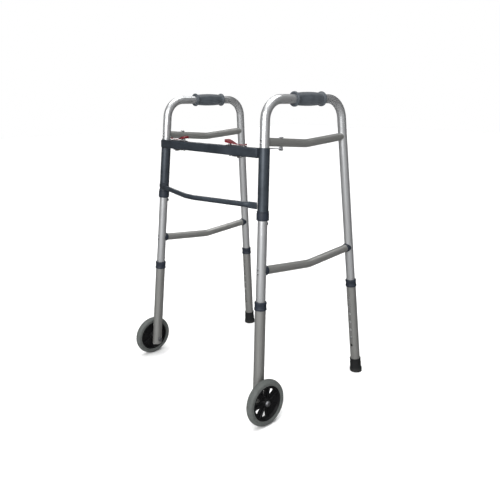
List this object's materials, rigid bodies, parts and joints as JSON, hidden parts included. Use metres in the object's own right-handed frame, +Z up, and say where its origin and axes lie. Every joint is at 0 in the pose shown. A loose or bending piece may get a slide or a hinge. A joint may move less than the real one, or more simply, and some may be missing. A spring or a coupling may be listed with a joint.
{
  "type": "front wheeled walker",
  "caption": "Folding walking frame with two front wheels, rubber rear tips, height-adjustable legs and finger releases on the front crossbar.",
  "frame": {"origin": "on the floor, midway between left and right and midway between the front of the wheels and the back of the rear tips", "axes": "+Z up, +X towards the side frame named right, which is on the right when the walker is seen from in front, -Y towards the wheels and the crossbar (front), +Y towards the user (rear)"},
  "size_m": [0.5914, 0.4784, 0.8551],
  "materials": {
    "front_paint": "satin dark slate blue powder coat",
    "silver_tube": "satin anodised, fine lengthwise grain",
    "dull_tube": "matt anodised, greyer than the side frames",
    "grip_rubber": "matt moulded, dark blue grey",
    "collar_plastic": "moulded near black navy",
    "tip_rubber": "matt black",
    "grey_tyre": "mid grey, slightly worn tread",
    "hub_plastic": "moulded black",
    "red_plastic": "dark red, fine texture",
    "zinc_steel": "bright zinc plated"
  },
  "bodies": {
    "front_frame": {"front_crossbar": "front_paint", "lower_front_bar": "front_paint", "hinge_sleeve_left": "front_paint", "hinge_sleeve_right": "front_paint", "sleeve_collar_left": "collar_plastic", "sleeve_collar_right": "collar_plastic"},
    "side_left": {"side_hoop_left": "silver_tube", "hand_grip_left": "grip_rubber", "upper_brace_left": "dull_tube", "lower_brace_left": "dull_tube", "brace_saddle_front_left": "collar_plastic", "upper_rivet_front_left": "zinc_steel", "lower_rivet_front_left": "zinc_steel", "brace_saddle_rear_left": "collar_plastic", "upper_rivet_rear_left": "zinc_steel", "lower_rivet_rear_left": "zinc_steel", "brace_bolt_left": "zinc_steel", "sleeve_stop_pin_left": "collar_plastic"},
    "leg_front_left": {"lower_leg_front_left": "dull_tube", "leg_collar_front_left": "collar_plastic", "axle_bolt_left": "zinc_steel", "axle_nut_left": "zinc_steel"},
    "button_front_left": {"snap_button_front_left": "zinc_steel"},
    "leg_rear_left": {"lower_leg_rear_left": "dull_tube", "leg_collar_rear_left": "collar_plastic", "rubber_tip_left": "tip_rubber"},
    "button_rear_left": {"snap_button_rear_left": "zinc_steel"},
    "wheel_left": {"tyre_left": "grey_tyre", "wheel_hub_left": "hub_plastic"},
    "slider_left": {"lock_slider_left": "zinc_steel", "release_post_left": "zinc_steel"},
    "release_left": {"release_lever_left": "red_plastic"},
    "link_left": {"lock_link_left": "zinc_steel"},
    "side_right": {"side_hoop_right": "silver_tube", "hand_grip_right": "grip_rubber", "upper_brace_right": "dull_tube", "lower_brace_right": "dull_tube", "brace_saddle_front_right": "collar_plastic", "upper_rivet_front_right": "zinc_steel", "lower_rivet_front_right": "zinc_steel", "brace_saddle_rear_right": "collar_plastic", "upper_rivet_rear_right": "zinc_steel", "lower_rivet_rear_right": "zinc_steel", "brace_bolt_right": "zinc_steel", "sleeve_stop_pin_right": "collar_plastic"},
    "leg_front_right": {"lower_leg_front_right": "dull_tube", "leg_collar_front_right": "collar_plastic", "axle_bolt_right": "zinc_steel", "axle_nut_right": "zinc_steel"},
    "button_front_right": {"snap_button_front_right": "zinc_steel"},
    "leg_rear_right": {"lower_leg_rear_right": "dull_tube", "leg_collar_rear_right": "collar_plastic", "rubber_tip_right": "tip_rubber"},
    "button_rear_right": {"snap_button_rear_right": "zinc_steel"},
    "wheel_right": {"tyre_right": "grey_tyre", "wheel_hub_right": "hub_plastic"},
    "slider_right": {"lock_slider_right": "zinc_steel", "release_post_right": "zinc_steel"},
    "release_right": {"release_lever_right": "red_plastic"},
    "link_right": {"lock_link_right": "zinc_steel"}
  },
  "joints": [
    {"name": "fold_left", "type": "hinge", "parent": "front_frame", "child": "side_left", "pos_m": [-0.23515, -0.13989, 0.63169], "axis": [-0.0313, -0.0698, -0.9971], "range_deg": [0, 74]},
    {"name": "lock_slide_left", "type": "slide", "parent": "front_frame", "child": "slider_left", "axis": [1, 0, 0], "range_m": [0, 0.07888]},
    {"name": "lock_link_left", "type": "hinge", "parent": "side_left", "child": "link_left", "pos_m": [-0.2323, -0.07634, 0.7067], "axis": [0.0313, 0.0698, 0.9971], "range_deg": [0, 99.55]},
    {"name": "release_left", "type": "hinge", "parent": "slider_left", "child": "release_left", "pos_m": [-0.11, -0.14918, 0.7215], "axis": [0, 1, 0], "range_deg": [0, 10], "stiffness_Nm_per_rad": 0.3},
    {"name": "height_front_left", "type": "slide", "parent": "side_left", "child": "leg_front_left", "axis": [-0.0313, -0.0698, -0.9971], "range_m": [-0.0254, 0.127]},
    {"name": "snap_front_left", "type": "slide", "parent": "side_left", "child": "button_front_left", "axis": [0.0022, -0.9976, 0.0697], "range_m": [0, 0.004], "stiffness_N_per_m": 1500},
    {"name": "height_rear_left", "type": "slide", "parent": "side_left", "child": "leg_rear_left", "axis": [-0.0313, 0.0698, -0.9971], "range_m": [-0.0254, 0.127]},
    {"name": "snap_rear_left", "type": "slide", "parent": "side_left", "child": "button_rear_left", "axis": [0.0022, 0.9976, 0.0697], "range_m": [0, 0.004], "stiffness_N_per_m": 1500},
    {"name": "wheel_left", "type": "hinge", "parent": "leg_front_left", "child": "wheel_left", "pos_m": [-0.28114, -0.17997, 0.05956], "axis": [0.9995, 0, -0.0314], "continuous": true},
    {"name": "fold_right", "type": "hinge", "parent": "front_frame", "child": "side_right", "pos_m": [0.23515, -0.13989, 0.63169], "axis": [-0.0313, 0.0698, 0.9971], "range_deg": [0, 88]},
    {"name": "lock_slide_right", "type": "slide", "parent": "front_frame", "child": "slider_right", "axis": [-1, 0, 0], "range_m": [0, 0.08401]},
    {"name": "lock_link_right", "type": "hinge", "parent": "side_right", "child": "link_right", "pos_m": [0.2323, -0.07634, 0.7067], "axis": [0.0313, -0.0698, -0.9971], "range_deg": [0, 121.03]},
    {"name": "release_right", "type": "hinge", "parent": "slider_right", "child": "release_right", "pos_m": [0.11, -0.14918, 0.7215], "axis": [0, -1, 0], "range_deg": [0, 10], "stiffness_Nm_per_rad": 0.3},
    {"name": "height_front_right", "type": "slide", "parent": "side_right", "child": "leg_front_right", "axis": [0.0313, -0.0698, -0.9971], "range_m": [-0.0254, 0.127]},
    {"name": "snap_front_right", "type": "slide", "parent": "side_right", "child": "button_front_right", "axis": [-0.0022, -0.9976, 0.0697], "range_m": [0, 0.004], "stiffness_N_per_m": 1500},
    {"name": "height_rear_right", "type": "slide", "parent": "side_right", "child": "leg_rear_right", "axis": [0.0313, 0.0698, -0.9971], "range_m": [-0.0254, 0.127]},
    {"name": "snap_rear_right", "type": "slide", "parent": "side_right", "child": "button_rear_right", "axis": [-0.0022, 0.9976, 0.0697], "range_m": [0, 0.004], "stiffness_N_per_m": 1500},
    {"name": "wheel_right", "type": "hinge", "parent": "leg_front_right", "child": "wheel_right", "pos_m": [0.28114, -0.17997, 0.05956], "axis": [0.9995, 0, 0.0314], "continuous": true}
  ],
  "couplings": [
    {"joint": "lock_slide_left", "follows": "fold_left", "m_per_rad": 0.061071},
    {"joint": "lock_link_left", "follows": "fold_left", "ratio": 1.3453},
    {"joint": "lock_slide_right", "follows": "fold_right", "m_per_rad": 0.054699},
    {"joint": "lock_link_right", "follows": "fold_right", "ratio": 1.3754}
  ]
}
